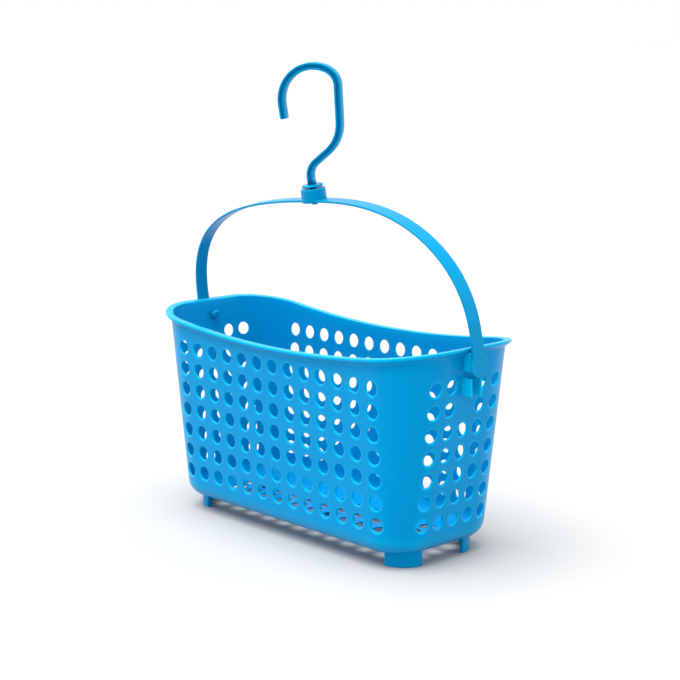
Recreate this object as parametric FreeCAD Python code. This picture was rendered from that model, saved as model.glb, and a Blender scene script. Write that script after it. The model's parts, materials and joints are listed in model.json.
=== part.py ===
"""Shower caddy: a moulded basket with a bail handle and a swivel hook.

Three plastic mouldings make the object. The basket is a long perforated tub
with a flared rim, the handle is a thin strap that swings on two snap pins, and
the hook turns in a hub at the top of the strap. Each moulding is written as
its named sections, which meet face to face.

Frame: millimetres, +Z up, origin on the ground in the middle of the four feet,
+X along the basket's length, -Y towards the front wall.
"""
import FreeCAD, Part
import math
import os

from FreeCAD import Placement, Rotation, Vector

# ---------------------------------------------------------------- basket walls
WALL = 1.4                     # wall thickness
FLOOR_BOTTOM = 9.4            # underside of the floor above the ground
FLOOR_THICK = 1.2
BASE_RADIUS = 12.0             # outer rounding between walls and floor
CORNER_RADIUS = 28.2           # outer corner radius in plan at the reference height
CORNER_DRAFT = 0.05            # how much that radius grows per mm of height
REFERENCE_Z = 30.0             # height at which the radius and both half sizes hold
HALF_LENGTH = 116.8
HALF_WIDTH = 49.2
LENGTH_DRAFT = 0.1184          # how much the end walls lean out per mm of height
WIDTH_DRAFT = 0.0478           # the same for the long walls
TRAY_TOP = FLOOR_BOTTOM + BASE_RADIUS   # the floor section ends where the base rounding ends
SHELL_TOP = 152.0              # blank height before the rim line is cut

# ------------------------------------------------------------------------ rim
RIM_LOW = 133.8                # rim height at the middle of the long walls
RIM_RISE = 0.000633            # rim height gained per mm of distance squared
RIM_THICK = 2.2
RIM_OVERHANG = 3.6

# ---------------------------------------------------------------------- holes
HOLE_ROWS = [30.0 + 15.0 * row for row in range(7)]
LONG_PITCH = 15.8
LONG_COLUMNS = range(-6, 7)
LONG_HOLE = (10.2, 10.8)       # width and height
END_PITCH = 13.6
END_COLUMNS = range(-2, 3)
END_HOLE = (9.4, 10.2)
END_CENTRE_ROWS = 5            # the centre column stops below the pivot bracket
FLOOR_HOLE = 11.0
FLOOR_PITCH = (16.4, 14.0)       # along X and along Y
FLOOR_COUNT = (12, 4)
GATE_RADIUS = 4.5
GATE_DEPTH = 2.2

# Sections of the shell are parted where the flat walls turn into the corners.
CUT_X = 87.0
CUT_Y = 20.4

# ----------------------------------------------------------------------- feet
FOOT_CENTRE = (90.6, 19.0)
FOOT_RADIUS = 17.7
FOOT_THICK = 2.9

# ---------------------------------------------------------------------- pivot
PIVOT_Z = 133.5
PIN_RADIUS = 2.25
PIN_CLEARANCE = 0.08
PIN_HEAD_RADIUS = 3.3
PIN_HEAD_FACE = 126.3          # outer face of the snap head, inside the wall
PIN_HEAD_LENGTH = 2.0
PIN_HEAD_DOME = 1.4
BOSS_FACE = 135.0              # outer end of the bracket boss
BOSS_HALF_WIDTH = 5.25
BOSS_Z = (129.5, 142.0)
RIB_Z = (113.7, 125.3)
RIB_Y = 4.5
RIB_THICK = 1.5
RIB_FACE = 135.5

# --------------------------------------------------------------------- handle
TILT = 8.55                    # the handle leans forward by this angle at rest
STRAP_WIDTH = 10.2
STRAP_THICK = 1.6
ARCH_HALF_SPAN = 137.2
ARCH_RISE = 96.0               # height of the strap's middle above the pivot
ARCH_LEG = 8.0                 # straight part of each leg above the pivot
ARCH_POWER = 2.55              # superellipse exponent of the arch
ARCH_SKEW = 9.0                # sideways flex of the thin strap
ARCH_STEPS = 36
EYE_RADIUS = 7.4
EYE_THICK = 2.2
EYE_NECK = 13.5                # height where the eye has narrowed to the strap

# ------------------------------------------------------------------------ hub
HUB_LEAN = 3.5                 # the hub follows the flexed strap
HUB_RADIUS = 8.45
HUB_BELOW = 0.9
HUB_ABOVE = 8.2

# ----------------------------------------------------------------------- hook
HOOK_TURN = 29.0               # how far the hook is swivelled from the strap
COLLAR_RADIUS = 7.3
COLLAR_BASE = 9.3
COLLAR_THICK = 1.5
SHANK_RADIUS = 2.2
SHANK_CLEARANCE = 0.08
BARB_RADIUS = 2.8
BARB_TOP = -1.3
BARB_LENGTH = 1.6
BARB_TIP_RADIUS = 1.8
BARB_SLOT = 1.0
ROD_DEEP = 5.2                 # rod size square to the hook's plane
ROD_WIDE = 4.8                 # rod size in the hook's plane
ROD_FLANGE = 1.4
ROD_GROOVE = 1.3
# The rod's centre line as moves: ("run", length) or ("turn", radius, degrees),
# where a positive turn bends to the right of the direction of travel.
HOOK_ROUTE = [
    ("run", 4.5), ("turn", 12.0, 57.0), ("run", 11.0), ("turn", 25.0, -51.0),
    ("run", 24.0), ("turn", 12.2, -66.0), ("turn", 23.0, -120.0), ("run", 8.5),
]


def write(shape, node):
    """Save one node as a STEP file."""
    shape.exportStep(f"parts/{node}.step")
    print(f"{node:24s} solids {len(shape.Solids)} volume {shape.Volume:9.1f} valid {shape.isValid()}")


def box(low, high):
    """A box between two corners."""
    size = [high[axis] - low[axis] for axis in range(3)]
    return Part.makeBox(*size, Vector(*low))


def disc(radius, centre, direction, length):
    """A round cylinder standing on its centre."""
    return Part.makeCylinder(radius, length, Vector(*centre), Vector(*direction))


# ---------------------------------------------------------------- basket shell
def plan_outline(z, offset):
    """The rounded rectangle of the basket at one height, moved out by offset."""
    a = HALF_LENGTH + LENGTH_DRAFT * (z - REFERENCE_Z) + offset
    b = HALF_WIDTH + WIDTH_DRAFT * (z - REFERENCE_Z) + offset
    radius = CORNER_RADIUS + CORNER_DRAFT * (z - REFERENCE_Z) + offset
    diagonal = radius * math.sqrt(0.5)
    corners = []
    for sx, sy in ((1, 1), (-1, 1), (-1, -1), (1, -1)):
        centre = Vector(sx * (a - radius), sy * (b - radius), z)
        side = centre + Vector(sx * radius, 0, 0)
        middle = centre + Vector(sx * diagonal, sy * diagonal, 0)
        top = centre + Vector(0, sy * radius, 0)
        corners.append((side, middle, top) if sx * sy > 0 else (top, middle, side))
    edges = []
    for index, (start, middle, end) in enumerate(corners):
        edges.append(Part.Arc(start, middle, end).toShape())
        edges.append(Part.LineSegment(end, corners[(index + 1) % 4][0]).toShape())
    return Part.Wire(edges)


def tub(bottom, offset, round_base):
    """A solid drafted tub with a rounded base edge."""
    outlines = [plan_outline(bottom, offset), plan_outline(SHELL_TOP, offset)]
    solid = Part.makeLoft(outlines, True, True)
    if round_base:
        base_edges = [edge for edge in solid.Edges if abs(edge.BoundBox.ZMax - bottom) < 0.01]
        solid = solid.makeFillet(round_base, base_edges)
    return solid


def rim_line(x, drop):
    """Height of the rim's top, or of a line a given drop below it."""
    return RIM_LOW + RIM_RISE * x * x - drop


def above_rim(drop, reach=180.0):
    """Everything above the saddle-shaped rim line, lowered by a drop."""
    ends = [Vector(side * reach, -100, rim_line(reach, drop)) for side in (-1, 1)]
    saddle = Part.Arc(ends[0], Vector(0, -100, rim_line(0, drop)), ends[1]).toShape()
    top = rim_line(reach, 0) + 20
    corners = [ends[1], Vector(reach, -100, top), Vector(-reach, -100, top), ends[0]]
    return Part.Face(Part.Wire([saddle] + Part.makePolygon(corners).Edges)).extrude(Vector(0, 200, 0))


def oval_hole(centre, width_axis, size, through):
    """A through-cutter for one oval hole, its long way up."""
    width, height = size
    start = Vector(*centre) - through * 0.5
    if height > width:
        oval = Part.Ellipse(start + Vector(0, 0, height / 2), start + width_axis * (width / 2), start)
    else:
        oval = Part.Circle(start, through, width / 2)
    return Part.Face(Part.Wire(oval.toShape())).extrude(through)


def long_wall_holes():
    """Cutters for the grid of holes that goes through both long walls."""
    through = Vector(0, 160, 0)
    return [
        oval_hole((LONG_PITCH * column, 0, z), Vector(1, 0, 0), LONG_HOLE, through)
        for z in HOLE_ROWS for column in LONG_COLUMNS
    ]


def end_wall_holes():
    """Cutters for the holes through both end walls."""
    through = Vector(320, 0, 0)
    cutters = []
    for index, z in enumerate(HOLE_ROWS):
        for column in END_COLUMNS:
            if column == 0 and index >= END_CENTRE_ROWS:
                continue
            cutters.append(oval_hole((0, END_PITCH * column, z), Vector(0, 1, 0), END_HOLE, through))
    return cutters


def floor_holes():
    """Cutters for the round drain holes."""
    cutters = []
    for column in range(FLOOR_COUNT[0]):
        for line in range(FLOOR_COUNT[1]):
            x = FLOOR_PITCH[0] * (column - (FLOOR_COUNT[0] - 1) / 2)
            y = FLOOR_PITCH[1] * (line - (FLOOR_COUNT[1] - 1) / 2)
            cutters.append(disc(FLOOR_HOLE / 2, (x, y, FLOOR_BOTTOM - 4), (0, 0, 1), 8))
    return cutters


def make_basket():
    """The basket moulding, as floor, walls, corners, rim, feet and brackets."""
    outer = tub(FLOOR_BOTTOM, 0.0, BASE_RADIUS)
    inner = tub(FLOOR_BOTTOM + FLOOR_THICK, -WALL, BASE_RADIUS - WALL)
    shell = outer.cut(inner)
    below_rim = shell.cut(above_rim(RIM_THICK))
    pin_bore = disc(PIN_RADIUS + PIN_CLEARANCE, (-150, 0, PIVOT_Z), (1, 0, 0), 300)

    tray_space = box((-150, -80, 0), (150, 80, TRAY_TOP))
    floor = below_rim.common(tray_space).cut(Part.makeCompound(floor_holes()))
    floor = floor.cut(Part.makeCompound(long_wall_holes() + end_wall_holes()))
    gate = disc(GATE_RADIUS, (0, 0, FLOOR_BOTTOM - GATE_DEPTH), (0, 0, 1), GATE_DEPTH)
    write(floor.fuse(gate).removeSplitter(), "floor_tray")

    walls = below_rim.cut(tray_space)
    pierced = walls.cut(Part.makeCompound(long_wall_holes() + end_wall_holes() + [pin_bore]))
    for name, side in (("front_wall", -1), ("back_wall", 1)):
        low, high = sorted((side * CUT_Y, side * 80))
        write(pierced.common(box((-CUT_X, low, 0), (CUT_X, high, SHELL_TOP))), name)
    for name, side in (("left_end_wall", -1), ("right_end_wall", 1)):
        low, high = sorted((side * CUT_X, side * 160))
        write(pierced.common(box((low, -CUT_Y, 0), (high, CUT_Y, SHELL_TOP))), name)
    for depth, side_y in (("front", -1), ("back", 1)):
        for end, side_x in (("left", -1), ("right", 1)):
            low_x, high_x = sorted((side_x * CUT_X, side_x * 160))
            low_y, high_y = sorted((side_y * CUT_Y, side_y * 80))
            corner = pierced.common(box((low_x, low_y, 0), (high_x, high_y, SHELL_TOP)))
            write(corner, f"{depth}_{end}_corner")

    flange = tub(100.0, RIM_OVERHANG, 0).cut(inner)
    rim = flange.cut(above_rim(0)).common(above_rim(RIM_THICK))
    write(rim, "rim")

    for depth, side_y in (("front", -1), ("back", 1)):
        for end, side_x in (("left", -1), ("right", 1)):
            write(foot(side_x, side_y, outer), f"{depth}_{end}_foot")
    for name, side in (("left_pivot_bracket", -1), ("right_pivot_bracket", 1)):
        write(pivot_bracket(side, outer, pin_bore), name)


def foot(side_x, side_y, outer):
    """A quarter-round plate that stands under one corner of the floor."""
    centre = (side_x * FOOT_CENTRE[0], side_y * FOOT_CENTRE[1], 0)
    top = FLOOR_BOTTOM + 5
    ring = disc(FOOT_RADIUS, centre, (0, 0, 1), top).cut(
        disc(FOOT_RADIUS - FOOT_THICK, centre, (0, 0, 1), top))
    low_x, high_x = sorted((centre[0], centre[0] + side_x * 30))
    low_y, high_y = sorted((centre[1], centre[1] + side_y * 30))
    quarter = ring.common(box((low_x, low_y, 0), (high_x, high_y, top)))
    return quarter.cut(outer)


def pivot_bracket(side, outer, pin_bore):
    """The boss round the pin and the two ribs below it, on one end wall."""
    pieces = []
    low_x, high_x = sorted((side * 110, side * BOSS_FACE))
    pieces.append(box((low_x, -BOSS_HALF_WIDTH, BOSS_Z[0]), (high_x, BOSS_HALF_WIDTH, BOSS_Z[1])))
    low_x, high_x = sorted((side * 110, side * RIB_FACE))
    for rib in (-1, 1):
        middle = rib * RIB_Y
        pieces.append(box((low_x, middle - RIB_THICK / 2, RIB_Z[0]),
                          (high_x, middle + RIB_THICK / 2, RIB_Z[1])))
    return Part.makeCompound([piece.cut(outer).cut(pin_bore) for piece in pieces])


# ---------------------------------------------------------------------- handle
def arch_point(angle):
    """A point of the arch in the handle's plane, from 0 at +X to pi at -X."""
    across = math.cos(angle)
    share = math.copysign(abs(across) ** (2 / ARCH_POWER), across)
    height = (ARCH_RISE - ARCH_LEG) * math.sin(angle) ** (2 / ARCH_POWER)
    flex = ARCH_SKEW * share * (1 - share * share) ** 1.5
    return ARCH_HALF_SPAN * share, ARCH_LEG + height + flex


def arch_offset(distance):
    """Points of the arch moved out by a distance, square to its line."""
    step = 0.002
    points = [Vector(ARCH_HALF_SPAN + distance, 0, ARCH_LEG)]
    for index in range(1, ARCH_STEPS):
        angle = math.pi * index / ARCH_STEPS
        x, z = arch_point(angle)
        ahead = arch_point(angle + step)
        behind = arch_point(angle - step)
        along = Vector(ahead[0] - behind[0], 0, ahead[1] - behind[1]).normalize()
        points.append(Vector(x + along.z * distance, 0, z - along.x * distance))
    points.append(Vector(-ARCH_HALF_SPAN - distance, 0, ARCH_LEG))
    return points


def make_strap(hub_space):
    """The thin bent strap, with room left for the hub."""
    edges = []
    ends = []
    up = Vector(0, 0, 1)
    for distance in (STRAP_THICK / 2, -STRAP_THICK / 2):
        curve = Part.BSplineCurve()
        curve.interpolate(Points=arch_offset(distance), InitialTangent=up, FinalTangent=up * -1)
        edges.append(curve.toShape())
        ends.append((curve.StartPoint, curve.EndPoint))
    edges.append(Part.LineSegment(ends[0][0], ends[1][0]).toShape())
    edges.append(Part.LineSegment(ends[0][1], ends[1][1]).toShape())
    outline = Part.Wire(Part.__sortEdges__(edges))
    strap = Part.Face(outline).extrude(Vector(0, STRAP_WIDTH, 0))
    strap.translate(Vector(0, -STRAP_WIDTH / 2, 0))
    above_eyes = box((-200, -20, EYE_NECK), (200, 20, 200))
    return strap.common(above_eyes).cut(hub_space)


def make_eye(side):
    """The round end of the strap, with its pin and snap head."""
    inner_face = ARCH_HALF_SPAN - EYE_THICK / 2
    plate = disc(EYE_RADIUS, (side * inner_face, 0, 0), (side, 0, 0), EYE_THICK)
    half = STRAP_WIDTH / 2
    shoulder = EYE_RADIUS * 0.55
    reach = math.sqrt(EYE_RADIUS ** 2 - shoulder ** 2)
    profile = [(-reach, shoulder), (reach, shoulder), (half, EYE_NECK), (-half, EYE_NECK)]
    corners = [Vector(side * inner_face, y, z) for y, z in profile]
    neck = Part.Face(Part.makePolygon(corners + corners[:1])).extrude(Vector(side * EYE_THICK, 0, 0))
    pin_start = side * (PIN_HEAD_FACE - PIN_HEAD_LENGTH)
    pin = disc(PIN_RADIUS, (pin_start, 0, 0), (side, 0, 0), inner_face - abs(pin_start))
    head = disc(PIN_HEAD_RADIUS, (side * PIN_HEAD_FACE, 0, 0), (-side, 0, 0), PIN_HEAD_LENGTH)
    dome = Part.makeCone(PIN_HEAD_RADIUS, PIN_HEAD_RADIUS * 0.6, PIN_HEAD_DOME,
                         Vector(pin_start, 0, 0), Vector(-side, 0, 0))
    eye = plate.multiFuse([neck, pin, head, dome]).removeSplitter()
    return eye


def handle_place():
    """From the handle's upright plane to where it stands at rest."""
    return Placement(Vector(0, 0, PIVOT_Z), Rotation(Vector(1, 0, 0), TILT))


def hub_place():
    """From the hub's own frame, on the strap's middle line, to the handle's."""
    return Placement(Vector(0, 0, ARCH_RISE), Rotation(Vector(0, 1, 0), -HUB_LEAN))


def make_handle():
    """The handle moulding: strap, two eyes with their pins, and the hub."""
    up = (0, 0, 1)
    hub_solid = disc(HUB_RADIUS, (0, 0, -HUB_BELOW), up, HUB_BELOW + HUB_ABOVE)
    hub = hub_solid.cut(disc(SHANK_RADIUS + SHANK_CLEARANCE, (0, 0, -5), up, 20))
    hub_space = disc(HUB_RADIUS, (0, 0, -6), up, 24)
    for shape in (hub, hub_space):
        shape.Placement = hub_place()
    pieces = {
        "handle_strap": make_strap(hub_space),
        "handle_hub": hub,
        "left_pivot_eye": make_eye(-1),
        "right_pivot_eye": make_eye(1),
    }
    for node, shape in pieces.items():
        shape.Placement = handle_place().multiply(shape.Placement)
        write(shape, node)


# ------------------------------------------------------------------------ hook
def rod_band(near, far, depth):
    """One band of the rod between two offsets from its centre line.

    Offsets are positive to the right of the direction of travel. The band is
    centred on the hook's plane and as deep as asked.
    """
    u, v, heading = 0.0, COLLAR_BASE + COLLAR_THICK, 0.0

    def beside(point, angle, offset):
        return Vector(point[0] + offset * math.cos(angle), -depth / 2,
                      point[1] - offset * math.sin(angle))

    pieces = []
    for move in HOOK_ROUTE:
        if move[0] == "run":
            end = (u + move[1] * math.sin(heading), v + move[1] * math.cos(heading))
            corners = [beside((u, v), heading, near), beside(end, heading, near),
                       beside(end, heading, far), beside((u, v), heading, far)]
            outline = Part.makePolygon(corners + corners[:1])
        else:
            radius, sweep = move[1], math.radians(move[2])
            side = math.copysign(1.0, sweep)
            centre = (u + side * radius * math.cos(heading), v - side * radius * math.sin(heading))
            stations = [heading + sweep * share for share in (0, 0.5, 1)]
            route = [(centre[0] - side * radius * math.cos(angle),
                      centre[1] + side * radius * math.sin(angle)) for angle in stations]
            arcs = []
            for offset in (near, far):
                arcs.append([beside(point, angle, offset) for point, angle in zip(route, stations)])
            edges = [Part.Arc(*arcs[0]).toShape(), Part.LineSegment(arcs[0][2], arcs[1][2]).toShape(),
                     Part.Arc(*arcs[1]).toShape(), Part.LineSegment(arcs[1][0], arcs[0][0]).toShape()]
            outline = Part.Wire(Part.__sortEdges__(edges))
            end = route[2]
            heading += sweep
        pieces.append(Part.Face(outline).extrude(Vector(0, depth, 0)))
        u, v = end
    return pieces


def make_rod():
    """The hook's I-section rod: two flanges with a thinner web between them."""
    half = ROD_WIDE / 2
    web = half - ROD_FLANGE
    bands = rod_band(-half, -web, ROD_DEEP)
    bands += rod_band(-web, web, ROD_DEEP - 2 * ROD_GROOVE)
    bands += rod_band(web, half, ROD_DEEP)
    return bands[0].multiFuse(bands[1:]).removeSplitter()


def make_snap_shank():
    """The round shank that turns in the hub, with a slotted barb below it."""
    up = Vector(0, 0, 1)
    shank = Part.makeCylinder(SHANK_RADIUS, COLLAR_BASE - BARB_TOP, Vector(0, 0, BARB_TOP), up)
    barb = Part.makeCone(BARB_RADIUS, BARB_TIP_RADIUS, BARB_LENGTH, Vector(0, 0, BARB_TOP), up * -1)
    slot = box((-10, -BARB_SLOT / 2, BARB_TOP - BARB_LENGTH - 1), (10, BARB_SLOT / 2, BARB_TOP + 4))
    return shank.fuse(barb).cut(slot).removeSplitter()


def make_hook():
    """The hook moulding: rod, collar and snap shank."""
    turned = Placement(Vector(0, 0, 0), Rotation(Vector(0, 0, 1), HOOK_TURN))
    place = handle_place().multiply(hub_place()).multiply(turned)
    pieces = {
        "hook_rod": make_rod(),
        "hook_collar": disc(COLLAR_RADIUS, (0, 0, COLLAR_BASE), (0, 0, 1), COLLAR_THICK),
        "hook_snap_shank": make_snap_shank(),
    }
    for node, shape in pieces.items():
        shape.Placement = place.multiply(shape.Placement)
        write(shape, node)


os.makedirs("parts", exist_ok=True)
make_basket()
make_handle()
make_hook()
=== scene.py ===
"""Looks of the shower caddy: three glossy blue mouldings on a pale floor.

Each moulding is one object made of closed meshes, which stands for the CAD
sections of that moulding. Shapes are in millimetres until to_mesh() or block()
turns them into metres. The studio and the camera are in metres.
"""
import json
import math

import bmesh
import bpy
from mathutils import Matrix, Vector


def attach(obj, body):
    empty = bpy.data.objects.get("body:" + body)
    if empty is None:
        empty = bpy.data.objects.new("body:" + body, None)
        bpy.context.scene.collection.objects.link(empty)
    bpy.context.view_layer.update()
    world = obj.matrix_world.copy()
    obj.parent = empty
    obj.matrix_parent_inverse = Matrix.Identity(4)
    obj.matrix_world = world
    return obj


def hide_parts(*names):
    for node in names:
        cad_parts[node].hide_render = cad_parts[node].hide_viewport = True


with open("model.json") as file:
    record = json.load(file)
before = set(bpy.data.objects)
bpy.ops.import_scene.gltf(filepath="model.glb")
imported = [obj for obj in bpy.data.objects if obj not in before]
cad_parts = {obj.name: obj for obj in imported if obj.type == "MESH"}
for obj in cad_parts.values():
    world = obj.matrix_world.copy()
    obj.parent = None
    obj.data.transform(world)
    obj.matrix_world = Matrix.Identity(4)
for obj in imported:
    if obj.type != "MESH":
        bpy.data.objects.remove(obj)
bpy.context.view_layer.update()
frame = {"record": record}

MM = 0.001

# ---------------------------------------------------------------- basket shell
WALL = 1.4
FLOOR_BOTTOM = 9.4
FLOOR_THICK = 1.2
BASE_RADIUS = 12.0
REFERENCE_Z = 30.0             # height at which the plan's sizes are given
CORNER_RADIUS = 28.2
HALF_LENGTH = 116.8
HALF_WIDTH = 49.2
CORNER_DRAFT = 0.05            # each size above grows by its draft per mm of height
LENGTH_DRAFT = 0.1184
WIDTH_DRAFT = 0.0478
BASE_TOP = FLOOR_BOTTOM + BASE_RADIUS
# The rounding inside the base starts lower than the one outside by this share.
BASE_TOP_SLOPE = (FLOOR_THICK - WALL) / -WALL

# --------------------------------------------------------------- hole pattern
ROW_PITCH = 15.0
ROW_COUNT = 7
GRID_BOTTOM = REFERENCE_Z - ROW_PITCH / 2
GRID_TOP = GRID_BOTTOM + ROW_PITCH * ROW_COUNT
LONG_PITCH = 15.8
LONG_COUNT = 13
LONG_EDGE = LONG_PITCH * LONG_COUNT / 2
LONG_MOUTH = (11.3, 12.5)      # a hole's soft outer edge
LONG_THROAT = (9.5, 9.6)       # and the narrower hole inside it
END_PITCH = 13.6
END_COUNT = 5
END_EDGE = END_PITCH * END_COUNT / 2
END_MOUTH = (10.3, 11.9)
END_THROAT = (8.7, 9.2)
END_CENTRE_ROWS = 5
FLOOR_PITCH = (16.4, 14.0)
FLOOR_COUNT = (12, 4)
FLOOR_EDGE = (FLOOR_PITCH[0] * FLOOR_COUNT[0] / 2, FLOOR_PITCH[1] * FLOOR_COUNT[1] / 2)
FLOOR_MOUTH = (11.5, 11.5)
FLOOR_THROAT = (11.0, 11.0)
BORE_FLARE = 0.8               # how much wider the pin bore is at its mouth
MOUTH_DEPTH = 0.8              # how deep a wall hole's soft edge goes
BORE_MOUTH_DEPTH = 0.4
FLOOR_MOUTH_DEPTH = 0.25
HOLE_ROUND_INSIDE = 0.2
HOLE_MARGIN = 0.3              # flat ring kept round each hole
SIDE_STEPS = 6                 # steps along each side of a hole's cell
CORNER_STEPS = 10              # steps round a corner of the plan
BASE_STEPS = 9                 # steps down the base rounding

# ------------------------------------------------------------------------ rim
RIM_LOW = 133.8                # height of the rim at the middle of a long wall
RIM_RISE = 0.000633            # it rises by this much times the square of x
LIP_DROP = 5.6                 # the lip's profile starts this far below the rim
LIP_OVERHANG = 3.6
# Corners of the lip's section: outward from the wall, down from the rim, rounding.
LIP_CORNERS = [
    (0.0, LIP_DROP, 0.0), (0.0, 4.6, 1.2), (LIP_OVERHANG, 2.0, 0.5), (LIP_OVERHANG, 0.0, 0.95),
    (-WALL, 0.0, 0.6), (-WALL, LIP_DROP, 0.0),
]

# --------------------------------------------------------------- feet, bracket
FOOT_CENTRE = (90.6, 19.0)
FOOT_RADIUS = 17.7
FOOT_THICK = 2.9
FOOT_TOP = FLOOR_BOTTOM + 1.1
FOOT_STEPS = 14
FOOT_ROUND = 0.6
GATE_RADIUS = 4.5              # disc left by the moulding gate under the floor
GATE_DEPTH = 2.2
GATE_TOP = 0.4                 # how far the disc reaches into the floor
GATE_ROUND = 0.4
BRACKET_ROOT = WALL * 0.6      # how far the bracket reaches into the wall
BOSS_FACE = 135.0
BOSS_HALF_WIDTH = 5.25
BOSS_Z = (129.5, 142.0)
BOSS_ROUND = 0.6
RIB_Z = (113.7, 125.3)
RIB_Y = 4.5
RIB_THICK = 1.5
RIB_FACE = 135.5
RIB_ROUND = 0.35

# --------------------------------------------------------------------- handle
PIVOT_Z = 133.5
PIN_RADIUS = 2.25
PIN_CLEARANCE = 0.08
PIN_HEAD_RADIUS = 3.3
PIN_HEAD_FACE = 126.3
PIN_HEAD_TIP = 122.9
PIN_ROOT = 0.4                 # how far a pin reaches into its eye
TILT = math.radians(8.55)      # lean of the handle at rest
STRAP_WIDTH = 10.2
STRAP_THICK = 1.6
STRAP_ROUND = 0.55
ARCH_HALF_SPAN = 137.19
ARCH_RISE = 96.0
ARCH_LEG = 8.0                 # straight stretch above each pivot
ARCH_POWER = 2.55              # 2 is an ellipse, more is squarer
ARCH_SKEW = 9.0                # raises the +X shoulder and lowers the other
ARCH_STEPS = 140
LEG_STEPS = 6
EYE_STEPS = 14
EYE_RADIUS = 7.4
EYE_THICK = 2.2
EYE_BLEND = (3.6, 13.5)        # heights between which the eye narrows to the strap
EYE_FIRST_SHARE = 0.08         # where round the eye its blunt end lies
HUB_LEAN = math.radians(3.5)
HUB_RADIUS = 8.45
HUB_BELOW = 0.9
HUB_ABOVE = 8.2

# ----------------------------------------------------------------------- hook
HOOK_TURN = math.radians(29.0)  # turn of the hook in its hub at rest
COLLAR_RADIUS = 7.3
COLLAR_BASE = 9.3
COLLAR_THICK = 1.5
SHANK_RADIUS = 2.2
SHANK_CLEARANCE = 0.08
BARB_RADIUS = 2.8
BARB_TOP = -1.3
BARB_LENGTH = 1.6
BARB_TIP_RADIUS = 1.8
BARB_SLOT = 1.0
SLOT_TOP = BARB_TOP + 4.0
PRONG_ROOT = 0.2               # how far a prong reaches into the shank
ROD_DEEP = 5.2
ROD_WIDE = 4.8
ROD_FLANGE = 1.4
ROD_GROOVE = 1.3
ROD_ROOT = 0.3                 # how far the rod reaches into the collar
ROD_STEP = 4.0                 # length in mm, or turn in degrees, of one step
# Lengths of the straight runs, and radius and degrees of the turns.
HOOK_ROUTE = [
    ("run", 4.5), ("turn", 12.0, 57.0), ("run", 11.0), ("turn", 25.0, -51.0),
    ("run", 24.0), ("turn", 12.2, -66.0), ("turn", 23.0, -120.0), ("run", 8.5),
]

# ---------------------------------------------------------- plastic and studio
# Base colours of each plastic: lighter and darker flow marks, and a paler colour on thin edges that
# is a painted highlight.
THIN_BLUE = ((0.0, 0.265, 0.57), (0.0, 0.24, 0.54), (0.0, 0.52, 0.82))
# painted shade: the handle and hook are the basket's blue plastic, painted darker
SHADED_BLUE = ((0.0, 0.17, 0.40), (0.0, 0.15, 0.37), (0.0, 0.34, 0.60))
THIN_ROUGHNESS = 0.24
SOLID_ROUGHNESS = 0.22
FLOOR_GREY = (0.46, 0.46, 0.46, 1)
FLOOR_REACH = 60.0
SUN_STRENGTH = 4.2
SUN_SOFTNESS = math.radians(60)
SUN_TURN = (math.radians(14), math.radians(-4), 0)
SOFTBOX_AIM = Vector((0.0, 0.0, 0.12))
SOFTBOX_AWAY = 1.3
SOFTBOX_SIZE = 0.7
CAMERA_PLACE = (0.8147, -0.7543, 0.3381)
CAMERA_TURN = (math.pi / 2 - 0.1842, -0.0009, 0.818)


# ------------------------------------------------------------------ mesh tools
class Skin:
    """Faces given by their corner points; corners at the same place are shared."""

    def __init__(self):
        self.points = []
        self.faces = []
        self.known = {}

    def index(self, point):
        """The number of a point, which is added if it is new."""
        key = tuple(round(value, 4) for value in point)
        if key not in self.known:
            self.known[key] = len(self.points)
            self.points.append(Vector(point))
        return self.known[key]

    def face(self, *corners):
        """A face, unless its corners fall together into a line or a point."""
        ids = []
        for corner in corners:
            number = self.index(corner)
            if number not in ids:
                ids.append(number)
        if len(ids) > 2:
            self.faces.append(ids)

    def strip(self, first, second, closed=False):
        """Quads between two rows of points."""
        count = len(first) if closed else len(first) - 1
        for step in range(count):
            after = (step + 1) % len(first)
            self.face(first[step], first[after], second[after], second[step])

    def rows(self, rows, closed=False):
        """Quads between each row of points and the next."""
        for first, second in zip(rows, rows[1:]):
            self.strip(first, second, closed)

    def lace(self, first, second):
        """Triangles between two open rows; each takes the shorter next diagonal."""
        i = j = 0
        while i < len(first) - 1 or j < len(second) - 1:
            reach_first = (first[min(i + 1, len(first) - 1)] - second[j]).length
            reach_second = (second[min(j + 1, len(second) - 1)] - first[i]).length
            first_done = i == len(first) - 1
            second_done = j == len(second) - 1
            if second_done or (not first_done and reach_first <= reach_second):
                self.face(first[i], first[i + 1], second[j])
                i += 1
            else:
                self.face(first[i], second[j + 1], second[j])
                j += 1


def to_mesh(skin, place=None):
    """A bmesh in metres from a skin in millimetres, with its faces outwards."""
    mesh = bmesh.new()
    corners = [mesh.verts.new(point * MM) for point in skin.points]
    for ids in skin.faces:
        mesh.faces.new([corners[number] for number in ids])
    bmesh.ops.remove_doubles(mesh, verts=mesh.verts, dist=2e-6)
    bmesh.ops.recalc_face_normals(mesh, faces=mesh.faces)
    if place:
        bmesh.ops.transform(mesh, matrix=place, verts=mesh.verts)
    return mesh


def to_object(name, meshes, material):
    """One smooth-shaded object from several closed meshes."""
    data = bpy.data.meshes.new(name)
    joined = bmesh.new()
    for mesh in meshes:
        part = bpy.data.meshes.new("part")
        mesh.to_mesh(part)
        joined.from_mesh(part)
        bpy.data.meshes.remove(part)
        mesh.free()
    for face in joined.faces:
        face.smooth = True
    joined.to_mesh(data)
    joined.free()
    data.materials.append(material)
    piece = bpy.data.objects.new(name, data)
    bpy.context.scene.collection.objects.link(piece)
    even = piece.modifiers.new("even_normals", "WEIGHTED_NORMAL")
    even.mode = "FACE_AREA"
    even.weight = 60
    return piece


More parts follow.
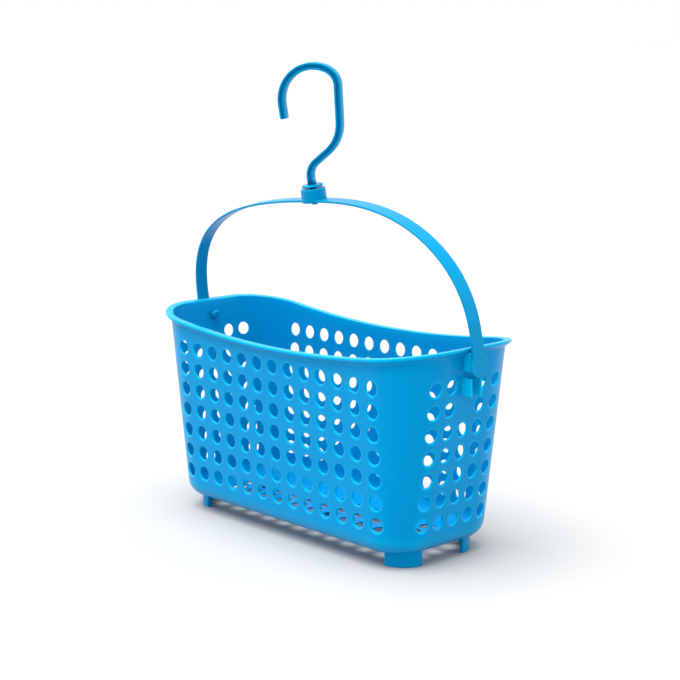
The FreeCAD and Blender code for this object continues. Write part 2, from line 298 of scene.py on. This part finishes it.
def round_corners(corners, steps=4):
    """The points of an open outline of corners (x, y, radius), with the corners rounded."""
    points = []
    for index, (x, y, radius) in enumerate(corners):
        here = Vector((x, y))
        if radius <= 0 or index in (0, len(corners) - 1):
            points.append(here)
            continue
        back = (Vector(corners[index - 1][:2]) - here).normalized()
        ahead = (Vector(corners[index + 1][:2]) - here).normalized()
        half = back.angle(ahead) / 2
        reach = radius / math.tan(half)
        middle = here + (back + ahead).normalized() * (radius / math.sin(half))
        start = here + back * reach - middle
        end = here + ahead * reach - middle
        sweep = start.angle_signed(end)
        for step in range(steps + 1):
            points.append(middle + turned(start, -sweep * step / steps))
    return points


def turned(vector, angle):
    """A flat vector turned anticlockwise by an angle."""
    cos, sin = math.cos(angle), math.sin(angle)
    return Vector((vector.x * cos - vector.y * sin, vector.x * sin + vector.y * cos))


def round_loop(corners, steps=4):
    """The same for a closed outline."""
    padded = [corners[-1]] + corners + [corners[0]]
    return round_corners(padded, steps)[1:-1]


def lathe(profile, steps=48):
    """Turns a (radius, height) profile about Z; one that meets the axis gets flat ends."""
    outline = [point for point in profile if point[0] > 0]
    skin = Skin()
    rings = []
    for radius, height in outline:
        rings.append([
            Vector((radius * math.cos(angle), radius * math.sin(angle), height))
            for angle in (math.tau * step / steps for step in range(steps))
        ])
    for first, second in zip(rings, rings[1:]):
        skin.strip(first, second, closed=True)
    if len(outline) < len(profile):
        skin.face(*rings[0])
        skin.face(*rings[-1])
    else:
        skin.strip(rings[-1], rings[0], closed=True)
    return skin


def block(low, high, edge):
    """A box with rounded edges."""
    mesh = bmesh.new()
    bmesh.ops.create_cube(mesh, size=1.0)
    low, high = Vector(low) * MM, Vector(high) * MM
    size = high - low
    bmesh.ops.scale(mesh, vec=size, verts=mesh.verts)
    bmesh.ops.translate(mesh, vec=(low + high) / 2, verts=mesh.verts)
    soften(mesh, edge)
    return mesh


def soften(mesh, width):
    """Rounds every edge of a closed mesh that turns by more than 40 degrees."""
    edges = [edge for edge in mesh.edges if edge.calc_face_angle() > math.radians(40)]
    bmesh.ops.bevel(mesh, geom=edges, offset=width * MM, segments=3, profile=0.5,
                    affect="EDGES", clamp_overlap=True)


# ---------------------------------------------------------------- basket shape
def base_start(out):
    """Height where the base rounding starts, on a surface moved out from the wall."""
    return BASE_TOP + BASE_TOP_SLOPE * out


def base_height(share, out, top):
    """Height on the base rounding, from the hole grid's bottom down to the floor."""
    start = base_start(out)
    radius = BASE_RADIUS + out
    first = math.asin((start - top) / radius)
    angle = first + (math.pi / 2 - first) * share
    return start - radius * math.sin(angle)


def quarter_plan(kind, where, z, out):
    """The point and outward direction on one quarter of the plan."""
    above = z - REFERENCE_Z
    corner = CORNER_RADIUS + CORNER_DRAFT * above
    corner_x = HALF_LENGTH + LENGTH_DRAFT * above - corner
    corner_y = HALF_WIDTH + WIDTH_DRAFT * above - corner
    radius = corner + out
    if kind == "long":
        if where <= corner_x:
            return Vector((where, corner_y + radius)), Vector((0, 1))
        angle = math.acos((where - corner_x) / radius)
    elif kind == "end":
        if where <= corner_y:
            return Vector((corner_x + radius, where)), Vector((1, 0))
        angle = math.asin((where - corner_y) / radius)
    else:
        flat = max(0.0, corner_x - LONG_EDGE)
        start = math.acos(max(0.0, LONG_EDGE - corner_x) / radius)
        end = math.asin((END_EDGE - corner_y) / radius)
        along = where * (flat + radius * (start - end))
        if along < flat:
            return Vector((LONG_EDGE + along, corner_y + radius)), Vector((0, 1))
        angle = start - (along - flat) / radius
    direction = Vector((math.cos(angle), math.sin(angle)))
    return Vector((corner_x, corner_y)) + direction * radius, direction


def shell_point(station, z, out):
    """A point of the tub: at a station round it, a height, and out from the wall."""
    kind, side_x, side_y, where = station
    start = base_start(out)
    point, direction = quarter_plan(kind, abs(where), max(z, start), out)
    if z < start:
        radius = BASE_RADIUS + out
        point -= direction * (radius - math.sqrt(max(0.0, radius ** 2 - (start - z) ** 2)))
    if kind == "long":
        side_x = math.copysign(1, where)
    if kind == "end":
        side_y = math.copysign(1, where)
    return Vector((side_x * point.x, side_y * point.y, z))


def spread(low, high, steps):
    """Evenly spaced numbers from one to another, both included."""
    return [low + (high - low) * step / steps for step in range(steps + 1)]


def stations():
    """The named stretches of the tub's outline, each a row of stations."""
    long_marks = spread(-LONG_EDGE, LONG_EDGE, LONG_COUNT * SIDE_STEPS)
    end_marks = spread(-END_EDGE, END_EDGE, END_COUNT * SIDE_STEPS)
    shares = spread(0.0, 1.0, CORNER_STEPS)
    return {
        "front": [("long", 0, -1, x) for x in long_marks],
        "front_right": [("corner", 1, -1, share) for share in shares],
        "right": [("end", 1, 0, y) for y in end_marks],
        "back_right": [("corner", 1, 1, share) for share in reversed(shares)],
        "back": [("long", 0, 1, x) for x in reversed(long_marks)],
        "back_left": [("corner", -1, 1, share) for share in shares],
        "left": [("end", -1, 0, y) for y in reversed(end_marks)],
        "front_left": [("corner", -1, -1, share) for share in reversed(shares)],
    }


def rim_point(station, out, drop):
    """A point a given drop below the saddle-shaped rim, out from the wall."""
    guess = shell_point(station, RIM_LOW, out)
    guess = shell_point(station, rim_height(guess.x) - drop, out)
    return shell_point(station, rim_height(guess.x) - drop, out)


def rim_height(x):
    """Height of the saddle-shaped rim at a distance from the middle."""
    return RIM_LOW + RIM_RISE * x * x


def hole_rings(mouth, throat, mouth_depth, thick):
    """How a hole's edge runs: (half width, half height, depth) from outside to inside."""
    rings = [(mouth[0] / 2 + HOLE_MARGIN, mouth[1] / 2 + HOLE_MARGIN, 0.0)]
    for angle in (math.radians(30 * step) for step in range(4)):
        depth = mouth_depth * (1 - math.cos(angle))
        inset = math.sin(angle)
        rings.append((mouth[0] / 2 - (mouth[0] - throat[0]) / 2 * inset,
                      mouth[1] / 2 - (mouth[1] - throat[1]) / 2 * inset, depth))
    for angle in (math.radians(45 * step) for step in range(3)):
        widen = HOLE_ROUND_INSIDE * (1 - math.cos(angle))
        depth = thick - HOLE_ROUND_INSIDE * (1 - math.sin(angle))
        rings.append((throat[0] / 2 + widen, throat[1] / 2 + widen, depth))
    last = HOLE_ROUND_INSIDE + HOLE_MARGIN
    rings.append((throat[0] / 2 + last, throat[1] / 2 + last, thick))
    return rings


def cell_border(low, high):
    """Points round a rectangular cell, anticlockwise from its top right corner."""
    (x0, y0), (x1, y1) = low, high
    across, up = spread(x0, x1, SIDE_STEPS), spread(y0, y1, SIDE_STEPS)
    border = [(x, y1) for x in reversed(across)]
    border += [(x0, y) for y in reversed(up[:-1])]
    border += [(x, y0) for x in across[1:]]
    border += [(x1, y) for y in up[1:-1]]
    return border


def hole_cell(skin, surface, low, high, centre, rings):
    """One cell of a sheet with a hole in it; surface(x, y, depth) places its points."""
    border = cell_border(low, high)
    count = len(border)
    rows = [[surface(x, y, 0.0) for x, y in border]]
    for half_width, half_height, depth in rings:
        ring = []
        for step in range(count):
            angle = math.radians(45) + math.tau * step / count
            ring.append(surface(centre[0] + half_width * math.cos(angle),
                                centre[1] + half_height * math.sin(angle), depth))
        rows.append(ring)
    rows.append([surface(x, y, rings[-1][2]) for x, y in border])
    skin.rows(rows, closed=True)


def blank_cell(skin, surface, low, high, thick):
    """One cell of a sheet with no hole."""
    across, up = spread(low[0], high[0], SIDE_STEPS), spread(low[1], high[1], SIDE_STEPS)
    for depth in (0.0, thick):
        skin.rows([[surface(x, y, depth) for x in across] for y in up])


def wall_cells(skin, kind, side):
    """All the cells of one long wall or one end wall."""
    if kind == "long":
        pitch, count = LONG_PITCH, LONG_COUNT
        rings = hole_rings(LONG_MOUTH, LONG_THROAT, MOUTH_DEPTH, WALL)
    else:
        pitch, count = END_PITCH, END_COUNT
        rings = hole_rings(END_MOUTH, END_THROAT, MOUTH_DEPTH, WALL)

    def surface(x, y, depth):
        station = (kind, 0, side, x) if kind == "long" else (kind, side, 0, x)
        return shell_point(station, y, -depth)

    for row in range(ROW_COUNT):
        for column in range(count):
            centre = (pitch * (column - (count - 1) / 2), REFERENCE_Z + ROW_PITCH * row)
            low = (centre[0] - pitch / 2, centre[1] - ROW_PITCH / 2)
            high = (centre[0] + pitch / 2, centre[1] + ROW_PITCH / 2)
            middle = kind == "end" and column == END_COUNT // 2
            if middle and row >= END_CENTRE_ROWS:
                blank_cell(skin, surface, low, high, WALL)
            else:
                hole_cell(skin, surface, low, high, centre, rings)


def pin_cell(skin, side):
    """The stretch of an end wall's top band with the pin's bore in it."""
    station = ("end", side, 0, 0.0)
    tops = {0.0: rim_point(station, 0.0, LIP_DROP).z, WALL: rim_point(station, -WALL, LIP_DROP).z}
    half = END_PITCH / 2
    bore = 2 * (PIN_RADIUS + PIN_CLEARANCE)
    mouth = bore + BORE_FLARE
    rings = hole_rings((mouth, mouth), (bore, bore), BORE_MOUTH_DEPTH, WALL)

    def surface(x, y, depth):
        share = (y - GRID_TOP) / (tops[0.0] - GRID_TOP)
        top = tops[0.0] + (tops[WALL] - tops[0.0]) * depth / WALL
        height = y if abs(x) < half and 0 < share < 1 else GRID_TOP + (top - GRID_TOP) * share
        return shell_point(("end", side, 0, x), height, -depth)

    hole_cell(skin, surface, (-half, GRID_TOP), (half, tops[0.0]), (0.0, PIVOT_Z), rings)


def top_band(skin, name, row):
    """The plain band between the holes and the rim, on both faces of the wall."""
    for out in (0.0, -WALL):
        tops = [rim_point(station, out, LIP_DROP).z for station in row]
        levels = []
        for share in spread(0.0, 1.0, SIDE_STEPS):
            levels.append([shell_point(station, GRID_TOP + (top - GRID_TOP) * share, out)
                           for station, top in zip(row, tops)])
        if name in ("left", "right"):
            gap = SIDE_STEPS * (END_COUNT // 2)
            skin.rows([level[:gap + 1] for level in levels])
            skin.rows([level[gap + SIDE_STEPS:] for level in levels])
        else:
            skin.rows(levels)


def floor_cells(skin):
    """The floor's grid of drain holes, inside the base rounding."""
    def surface(x, y, depth):
        return Vector((x, y, FLOOR_BOTTOM + depth))

    rings = hole_rings(FLOOR_MOUTH, FLOOR_THROAT, FLOOR_MOUTH_DEPTH, FLOOR_THICK)
    for column in range(FLOOR_COUNT[0]):
        for line in range(FLOOR_COUNT[1]):
            centre = (FLOOR_PITCH[0] * (column - (FLOOR_COUNT[0] - 1) / 2),
                      FLOOR_PITCH[1] * (line - (FLOOR_COUNT[1] - 1) / 2))
            low = (centre[0] - FLOOR_PITCH[0] / 2, centre[1] - FLOOR_PITCH[1] / 2)
            high = (centre[0] + FLOOR_PITCH[0] / 2, centre[1] + FLOOR_PITCH[1] / 2)
            hole_cell(skin, surface, low, high, centre, rings)


def floor_border(skin, rows):
    """The floor between its grid of holes and the base rounding."""
    for out, z in ((0.0, FLOOR_BOTTOM), (-WALL, FLOOR_BOTTOM + FLOOR_THICK)):
        for name, side in (("front", -1), ("back", 1)):
            outline = [shell_point(station, z, out) for station in rows[name]]
            marks = spread(side * FLOOR_EDGE[0], -side * FLOOR_EDGE[0], FLOOR_COUNT[0] * SIDE_STEPS)
            skin.lace(outline, [Vector((x, side * FLOOR_EDGE[1], z)) for x in marks])
        for side, names in ((1, ("front_right", "right", "back_right")),
                            (-1, ("back_left", "left", "front_left"))):
            joined = rows[names[0]] + rows[names[1]][1:-1] + rows[names[2]]
            outline = [shell_point(station, z, out) for station in joined]
            reach = FLOOR_EDGE[1] * side
            marks = spread(-reach, reach, FLOOR_COUNT[1] * SIDE_STEPS)
            skin.lace(outline, [Vector((side * FLOOR_EDGE[0], y, z)) for y in marks])


def basket_shell():
    """The perforated tub, from floor to lip, as one closed skin."""
    skin = Skin()
    rows = stations()
    for side in (-1, 1):
        wall_cells(skin, "long", side)
        wall_cells(skin, "end", side)
        pin_cell(skin, side)
    levels = spread(GRID_BOTTOM, GRID_TOP, ROW_COUNT * SIDE_STEPS)
    lip = round_corners(LIP_CORNERS)
    for name, row in rows.items():
        top_band(skin, name, row)
        skin.rows([[rim_point(station, out, drop) for station in row] for out, drop in lip])
        for out in (0.0, -WALL):
            shares = spread(0.0, 1.0, BASE_STEPS)
            skin.rows([[shell_point(station, base_height(share, out, GRID_BOTTOM), out)
                        for station in row] for share in shares])
            if row[0][0] == "corner":
                skin.rows([[shell_point(station, z, out) for station in row] for z in levels])
    floor_cells(skin)
    floor_border(skin, rows)
    return to_mesh(skin)


def foot(side_x, side_y):
    """A quarter-round plate under one corner of the floor, with soft edges."""
    skin = Skin()
    section = [(FOOT_RADIUS, 0.0), (FOOT_RADIUS, FOOT_TOP),
               (FOOT_RADIUS - FOOT_THICK, FOOT_TOP), (FOOT_RADIUS - FOOT_THICK, 0.0)]
    rings = []
    for angle in spread(0.0, math.pi / 2, FOOT_STEPS):
        rings.append([
            Vector((side_x * (FOOT_CENTRE[0] + radius * math.cos(angle)),
                    side_y * (FOOT_CENTRE[1] + radius * math.sin(angle)), z))
            for radius, z in section
        ])
    for first, second in zip(rings, rings[1:]):
        skin.strip(first, second, closed=True)
    skin.face(*rings[0])
    skin.face(*rings[-1])
    mesh = to_mesh(skin)
    soften(mesh, FOOT_ROUND)
    return mesh


def leaning_block(side, half_width, middle, heights, face, rounding):
    """A block standing out from an end wall; its root leans with the wall."""
    root = HALF_LENGTH + LENGTH_DRAFT * (heights[0] - REFERENCE_Z) - BRACKET_ROOT
    low, high = sorted((side * root, side * face))
    mesh = block((low, middle - half_width, heights[0]), (high, middle + half_width, heights[1]),
                 rounding)
    for point in mesh.verts:
        if abs(point.co.x) < (root + face) / 2 * MM:
            point.co.x += side * LENGTH_DRAFT * (point.co.z - heights[0] * MM)
    return mesh


def bracket(side):
    """The boss round the pin and the two ribs below it."""
    pieces = [leaning_block(side, BOSS_HALF_WIDTH, 0.0, BOSS_Z, BOSS_FACE, BOSS_ROUND)]
    for middle in (-RIB_Y, RIB_Y):
        pieces.append(leaning_block(side, RIB_THICK / 2, middle, RIB_Z, RIB_FACE, RIB_ROUND))
    return pieces


def gate_disc():
    """The small disc under the middle of the floor."""
    profile = round_loop([
        (0, GATE_TOP, 0), (GATE_RADIUS, GATE_TOP, 0), (GATE_RADIUS, -GATE_DEPTH, GATE_ROUND),
        (0, -GATE_DEPTH, 0),
    ])
    return to_mesh(lathe(profile), Matrix.Translation((0, 0, FLOOR_BOTTOM * MM)))


def make_basket(material):
    """The tub with its brackets, feet and gate disc."""
    pieces = [basket_shell()]
    for side in (-1, 1):
        pieces += bracket(side)
        for side_y in (-1, 1):
            pieces.append(foot(side, side_y))
    pieces.append(gate_disc())
    return to_object("basket_moulding", pieces, material)


# ---------------------------------------------------------------- handle shape
def handle_place():
    """From the handle's upright plane, with the pivot at its origin, to the part's frame."""
    return Matrix.Translation((0, 0, PIVOT_Z * MM)) @ Matrix.Rotation(TILT, 4, "X")


def hub_place():
    """From the hub's own frame, on the strap's middle line, to the part's frame."""
    lean = Matrix.Rotation(-HUB_LEAN, 4, "Y")
    return handle_place() @ Matrix.Translation((0, 0, ARCH_RISE * MM)) @ lean


def arch_point(angle):
    """A point of the strap's middle line, from 0 at +X to pi at -X."""
    across = math.cos(angle)
    share = math.copysign(abs(across) ** (2 / ARCH_POWER), across)
    height = (ARCH_RISE - ARCH_LEG) * math.sin(angle) ** (2 / ARCH_POWER)
    flex = ARCH_SKEW * share * (1 - share * share) ** 1.5
    return Vector((ARCH_HALF_SPAN * share, ARCH_LEG + height + flex))


def eye_half_width(height):
    """Half the width of the strap's end at a height from the pin's middle."""
    low, high = EYE_BLEND
    if height <= low:
        return math.sqrt(max(0.0, EYE_RADIUS ** 2 - height ** 2))
    start = math.sqrt(EYE_RADIUS ** 2 - low ** 2)
    slope = -low / start * (high - low)
    share = min(1.0, (height - low) / (high - low))
    square, cube = share ** 2, share ** 3
    end = STRAP_WIDTH / 2
    return ((2 * cube - 3 * square + 1) * start + (cube - 2 * square + share) * slope
            + (3 * square - 2 * cube) * end)


def strap_stations():
    """Middle points, directions, half widths and thicknesses along the strap."""
    quarters = spread(EYE_FIRST_SHARE, 1.0, EYE_STEPS)
    leg = [-EYE_RADIUS * math.cos(math.pi / 2 * share) for share in quarters[:-1]]
    leg += spread(0.0, ARCH_LEG, LEG_STEPS)[:-1]
    right = [(Vector((ARCH_HALF_SPAN, height)), Vector((0, 1)), height) for height in leg]
    arch = []
    for step in range(1, ARCH_STEPS):
        angle = math.pi * step / ARCH_STEPS
        ahead = arch_point(min(math.pi - 1e-6, angle + 0.002))
        behind = arch_point(max(1e-6, angle - 0.002))
        here = arch_point(angle)
        arch.append((here, (ahead - behind).normalized(), here.y))
    left = [(Vector((-ARCH_HALF_SPAN, height)), Vector((0, -1)), height) for height in reversed(leg)]
    found = []
    for middle, along, height in right + arch + left:
        thin = min(1.0, max(0.0, (height - ARCH_LEG) / ARCH_LEG))
        thick = EYE_THICK + (STRAP_THICK - EYE_THICK) * thin
        found.append((middle, along, eye_half_width(height), thick))
    return found


def strap_section(half_width, thick):
    """The strap's rounded-edge section, as (across, outward) points."""
    edge = min(STRAP_ROUND, half_width * 0.45, thick * 0.45)
    rise = thick / 2
    corners = [(half_width, -rise, edge), (half_width, rise, edge),
               (-half_width, rise, edge), (-half_width, -rise, edge)]
    return round_loop(corners, 3)


def strap_mesh():
    """The strap with its two eyes."""
    skin = Skin()
    rings = []
    for middle, along, half_width, thick in strap_stations():
        outward = Vector((along.y, -along.x))
        ring = []
        for across, rise in strap_section(half_width, thick):
            spot = middle + outward * rise
            ring.append(Vector((spot.x, across, spot.y)))
        rings.append(ring)
    for first, second in zip(rings, rings[1:]):
        skin.strip(first, second, closed=True)
    skin.face(*rings[0])
    skin.face(*rings[-1])
    return to_mesh(skin, handle_place())


def pin_mesh(side):
    """A pivot pin with its domed snap head."""
    end = ARCH_HALF_SPAN - EYE_THICK / 2 + PIN_ROOT
    profile = round_loop([
        (0, PIN_HEAD_TIP, 0), (PIN_HEAD_RADIUS, PIN_HEAD_TIP, 1.6),
        (PIN_HEAD_RADIUS, PIN_HEAD_FACE, 0.5), (PIN_RADIUS, PIN_HEAD_FACE, 0.2),
        (PIN_RADIUS, end, 0), (0, end, 0),
    ], 6)
    turn = Matrix.Rotation(side * math.pi / 2, 4, "Y")
    return to_mesh(lathe(profile), handle_place() @ turn)


def hub_mesh():
    """The hub, with the bore that the hook's shank turns in."""
    bore = SHANK_RADIUS + SHANK_CLEARANCE
    profile = round_loop([
        (bore, -HUB_BELOW, 0.3), (HUB_RADIUS, -HUB_BELOW, 0.35), (HUB_RADIUS, HUB_ABOVE, 0.7),
        (bore, HUB_ABOVE, 0.3),
    ])
    return to_mesh(lathe(profile, 64), hub_place())


def make_handle(material):
    """The strap, its eyes and pins, and the hub."""
    pieces = [strap_mesh(), pin_mesh(-1), pin_mesh(1), hub_mesh()]
    return to_object("handle_moulding", pieces, material)


# ------------------------------------------------------------------ hook shape
def hook_place():
    """From the hook's own frame, with Z up its shank, to the part's frame."""
    return hub_place() @ Matrix.Rotation(HOOK_TURN, 4, "Z")


def rod_stations():
    """Points and headings along the hook's middle line."""
    u, v, heading = 0.0, COLLAR_BASE + COLLAR_THICK, 0.0
    found = [(u, v - ROD_ROOT, heading)]
    for move in HOOK_ROUTE:
        if move[0] == "run":
            steps = max(1, round(move[1] / ROD_STEP))
            for _ in range(steps):
                u += move[1] / steps * math.sin(heading)
                v += move[1] / steps * math.cos(heading)
                found.append((u, v, heading))
        else:
            radius, sweep = move[1], math.radians(move[2])
            side = math.copysign(1.0, sweep)
            middle = (u + side * radius * math.cos(heading), v - side * radius * math.sin(heading))
            steps = max(3, round(abs(math.degrees(sweep)) / ROD_STEP))
            for step in range(1, steps + 1):
                angle = heading + sweep * step / steps
                found.append((middle[0] - side * radius * math.cos(angle),
                              middle[1] + side * radius * math.sin(angle), angle))
            u, v, heading = found[-1]
    return found


def rod_section():
    """The I-shaped section with soft corners, as (in plane, out of plane) points."""
    wide, deep = ROD_WIDE / 2, ROD_DEEP / 2
    web, floor = wide - ROD_FLANGE, deep - ROD_GROOVE
    corners = [(wide, deep, 0.5), (wide, -deep, 0.5), (web, -deep, 0.4), (web, -floor, 0.35),
               (-web, -floor, 0.35), (-web, -deep, 0.4), (-wide, -deep, 0.5), (-wide, deep, 0.5),
               (-web, deep, 0.4), (-web, floor, 0.35), (web, floor, 0.35), (web, deep, 0.4)]
    return round_loop(corners, 3)


def rod_mesh():
    """The hook's rod, with a softened tip."""
    skin = Skin()
    section = rod_section()
    rings = []
    for u, v, heading in rod_stations():
        rings.append([
            Vector((u + across * math.cos(heading), aside, v - across * math.sin(heading)))
            for across, aside in section
        ])
    ahead = Vector((math.sin(heading), 0, math.cos(heading)))
    middle = Vector((u, 0, v))
    for reach, scale in ((0.35, 0.95), (0.5, 0.82)):
        rings.append([middle + ahead * reach + (point - middle) * scale for point in rings[-1]])
    for first, second in zip(rings, rings[1:]):
        skin.strip(first, second, closed=True)
    skin.face(*rings[0])
    skin.face(*rings[-1])
    return to_mesh(skin, hook_place())


def collar_and_shank():
    """The collar, and the shank that turns in the hub."""
    profile = round_loop([
        (0, SLOT_TOP, 0), (SHANK_RADIUS, SLOT_TOP, 0.1), (SHANK_RADIUS, COLLAR_BASE, 0.2),
        (COLLAR_RADIUS, COLLAR_BASE, 0.5), (COLLAR_RADIUS, COLLAR_BASE + COLLAR_THICK, 0.7),
        (0, COLLAR_BASE + COLLAR_THICK, 0),
    ])
    return to_mesh(lathe(profile, 56), hook_place())


def prong(side):
    """One half of the shank's split barb."""
    tip = BARB_TOP - BARB_LENGTH
    root = SLOT_TOP + PRONG_ROOT
    profile = round_loop([
        (0, tip, 0), (BARB_TIP_RADIUS, tip, 0.3), (BARB_RADIUS, BARB_TOP - 0.3, 0.25),
        (BARB_RADIUS, BARB_TOP, 0.15), (SHANK_RADIUS, BARB_TOP, 0.1), (SHANK_RADIUS, root, 0),
        (0, root, 0),
    ])
    mesh = to_mesh(lathe(profile, 56))
    everything = list(mesh.verts) + list(mesh.edges) + list(mesh.faces)
    cut = bmesh.ops.bisect_plane(
        mesh, geom=everything, plane_co=(side * BARB_SLOT / 2 * MM, 0, 0),
        plane_no=(-side, 0, 0), clear_outer=True)
    rim = [item for item in cut["geom_cut"] if isinstance(item, bmesh.types.BMEdge)]
    bmesh.ops.holes_fill(mesh, edges=rim)
    bmesh.ops.recalc_face_normals(mesh, faces=mesh.faces)
    bmesh.ops.transform(mesh, matrix=hook_place(), verts=mesh.verts)
    return mesh


def make_hook(material):
    """The rod, the collar with its shank, and the split barb."""
    pieces = [rod_mesh(), collar_and_shank(), prong(-1), prong(1)]
    return to_object("hook_moulding", pieces, material)


# ------------------------------------------------------------------- materials
def add_node(tree, kind, settings, links):
    """A shader node with fixed values on some inputs and links into others."""
    node = tree.nodes.new(kind)
    for name, value in settings.items():
        node.inputs[name].default_value = value
    for name, source in links.items():
        tree.links.new(source, node.inputs[name])
    return node


def add_mix(tree, first, second, factor):
    """A blend from one colour, fixed or linked, to a fixed one."""
    node = tree.nodes.new("ShaderNodeMix")
    node.data_type = "RGBA"
    node.inputs["B"].default_value = (*second, 1)
    if isinstance(first, tuple):
        node.inputs["A"].default_value = (*first, 1)
    else:
        tree.links.new(first, node.inputs["A"])
    tree.links.new(factor, node.inputs["Factor"])
    return node.outputs["Result"]


def painted_edge_highlight(tree, place):
    """How much painted highlight each spot gets: thin raised edges of everything above the floor."""
    shape = tree.nodes.new("ShaderNodeNewGeometry")
    thin = add_node(tree, "ShaderNodeMapRange",
                    {"From Min": 0.505, "From Max": 0.54, "To Max": 0.7},
                    {"Value": shape.outputs["Pointiness"]})
    split = add_node(tree, "ShaderNodeSeparateXYZ", {}, {"Vector": place})
    above_floor = add_node(tree, "ShaderNodeMapRange", {"From Min": 0.012, "From Max": 0.020},
                           {"Value": split.outputs["Z"]})
    where = tree.nodes.new("ShaderNodeMath")
    where.operation = "MULTIPLY"
    tree.links.new(thin.outputs["Result"], where.inputs[0])
    tree.links.new(above_floor.outputs["Result"], where.inputs[1])
    return where.outputs["Value"]


def plastic_colour(tree, place, colours):
    """Faint flow marks in the moulded colour, and a painted highlight on thin edges."""
    light, dark, edge = colours
    flow = add_node(tree, "ShaderNodeTexNoise", {"Scale": 22.0, "Detail": 3.0}, {"Vector": place})
    tone = add_mix(tree, dark, light, flow.outputs["Fac"])
    # painted highlight: thin edges get the paler colour, as if light caught them
    return add_mix(tree, tone, edge, painted_edge_highlight(tree, place))


def plastic_roughness(tree, place, grain, roughness):
    """Slightly uneven gloss with fine slanting scratches."""
    stretch = add_node(tree, "ShaderNodeMapping",
                       {"Rotation": (0.3, 0.2, 0.5), "Scale": (60.0, 60.0, 1800.0)},
                       {"Vector": place})
    scratch = add_node(tree, "ShaderNodeTexNoise", {"Scale": 1.0, "Detail": 2.0},
                       {"Vector": stretch.outputs["Vector"]})
    worn = add_node(tree, "ShaderNodeMapRange",
                    {"From Min": 0.62, "From Max": 0.74, "To Max": 0.14},
                    {"Value": scratch.outputs["Fac"]})
    gloss = add_node(tree, "ShaderNodeMapRange",
                     {"To Min": roughness, "To Max": roughness + 0.12}, {"Value": grain})
    total = tree.nodes.new("ShaderNodeMath")
    tree.links.new(gloss.outputs["Result"], total.inputs[0])
    tree.links.new(worn.outputs["Result"], total.inputs[1])
    return total.outputs["Value"]


def plastic(name, colours, roughness):
    """Glossy moulded plastic with a fine-grained surface."""
    material = bpy.data.materials.new(name)
    material.use_nodes = True
    tree = material.node_tree
    shader = tree.nodes["Principled BSDF"]
    place = tree.nodes.new("ShaderNodeTexCoord").outputs["Object"]
    texture = add_node(tree, "ShaderNodeTexNoise", {"Scale": 900.0, "Detail": 4.0},
                       {"Vector": place})
    grain = texture.outputs["Fac"]
    bump = add_node(tree, "ShaderNodeBump", {"Strength": 0.12, "Distance": 0.0002},
                    {"Height": grain})
    tree.links.new(plastic_colour(tree, place, colours), shader.inputs["Base Color"])
    tree.links.new(plastic_roughness(tree, place, grain, roughness), shader.inputs["Roughness"])
    tree.links.new(bump.outputs["Normal"], shader.inputs["Normal"])
    shader.inputs["IOR"].default_value = 1.49
    shader.inputs["Specular IOR Level"].default_value = 0.2
    shader.inputs["Specular Tint"].default_value = (0.05, 0.65, 1.0, 1.0)
    return material


# ---------------------------------------------------------------- studio setup
def add_floor():
    """A wide pale floor that fades into the pale surroundings."""
    bpy.ops.mesh.primitive_circle_add(vertices=96, radius=FLOOR_REACH, fill_type="NGON")
    floor = bpy.context.object
    floor.name = "studio_floor"
    material = bpy.data.materials.new("studio_white")
    material.use_nodes = True
    shader = material.node_tree.nodes["Principled BSDF"]
    shader.inputs["Base Color"].default_value = FLOOR_GREY
    shader.inputs["Roughness"].default_value = 0.9
    shader.inputs["Specular IOR Level"].default_value = 0.1
    floor.data.materials.append(material)


def add_lamp(name, kind, strength):
    """A lamp of a kind, not yet placed, and its data."""
    data = bpy.data.lights.new(name, kind)
    data.energy = strength
    lamp = bpy.data.objects.new(name, data)
    bpy.context.scene.collection.objects.link(lamp)
    return lamp, data


def add_softbox(name, direction, strength):
    """A round soft light aimed at the basket from a direction."""
    lamp, data = add_lamp(name, "AREA", strength)
    data.shape = "DISK"
    data.size = SOFTBOX_SIZE
    away = Vector(direction).normalized()
    lamp.location = SOFTBOX_AIM + away * SOFTBOX_AWAY
    lamp.rotation_euler = (-away).to_track_quat("-Z", "Y").to_euler()


def add_sky():
    """Even white light from all round."""
    world = bpy.data.worlds.new("studio_world")
    world.use_nodes = True
    sky = world.node_tree.nodes["Background"]
    sky.inputs["Color"].default_value = (1.0, 1.0, 1.0, 1)
    sky.inputs["Strength"].default_value = 1.0
    bpy.context.scene.world = world


def add_studio():
    """The sky, a very soft light from above, and two weak softboxes for the shine."""
    add_sky()
    lamp, data = add_lamp("overhead", "SUN", SUN_STRENGTH)
    data.angle = SUN_SOFTNESS
    lamp.rotation_euler = SUN_TURN
    add_softbox("left_softbox", (-0.75, -0.85, 0.45), 0.8)
    add_softbox("right_softbox", (0.75, 0.75, 0.45), 1.0)
    bpy.context.scene.view_settings.view_transform = "Standard"


def add_camera():
    """A long-lens camera in front of the basket's right-hand front corner."""
    data = bpy.data.cameras.new("camera")
    data.sensor_width = 36.0
    data.lens = 87.1
    camera = bpy.data.objects.new("camera", data)
    bpy.context.scene.collection.objects.link(camera)
    camera.location = CAMERA_PLACE
    camera.rotation_euler = CAMERA_TURN
    bpy.context.scene.camera = camera


# ------------------------------------------------------------------------ main
def dress(piece, body):
    """Ties a piece to its body and hides every CAD node of that body."""
    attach(piece, body)
    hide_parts(*frame["record"]["behaviour"]["bodies"][body])


thin_blue = plastic("thin_blue_plastic", THIN_BLUE, THIN_ROUGHNESS)
# painted shade: the handle and hook get a darker copy of the basket's blue
shaded_blue = plastic("solid_blue_plastic", SHADED_BLUE, SOLID_ROUGHNESS)
dress(make_basket(thin_blue), "basket")
dress(make_handle(shaded_blue), "handle")
dress(make_hook(shaded_blue), "hook")
add_floor()
add_studio()
add_camera()
